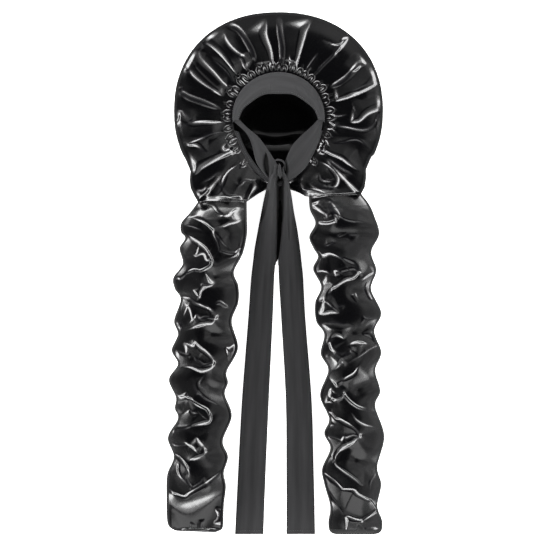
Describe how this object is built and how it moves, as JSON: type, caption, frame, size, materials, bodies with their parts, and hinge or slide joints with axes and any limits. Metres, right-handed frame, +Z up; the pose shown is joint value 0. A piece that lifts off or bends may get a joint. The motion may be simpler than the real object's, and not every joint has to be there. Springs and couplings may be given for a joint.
{
  "type": "heatless curling cap",
  "caption": "Soft satin sleep cap laid on its back, with a gathered crown, a wide brow band that ties at the nape, and long ruched sleeves that hold the hair.",
  "frame": {"origin": "middle of the crown's back, on the surface that it lies on", "axes": "+X to the wearer's left as the cap lies face up, +Y towards the top of the crown, +Z up through the face opening"},
  "size_m": [0.3128, 0.756, 0.0729],
  "materials": {
    "satin": "glossy black satin",
    "ribbon": "matt charcoal woven cloth"
  },
  "bodies": {
    "root": {"crown": "satin", "sleeve_left": "satin", "sleeve_right": "satin", "brow_band": "ribbon", "nape_binding": "ribbon", "strap_left": "ribbon", "strap_right": "ribbon", "knot": "ribbon", "tie_left": "ribbon", "tie_right": "ribbon"}
  },
  "joints": []
}
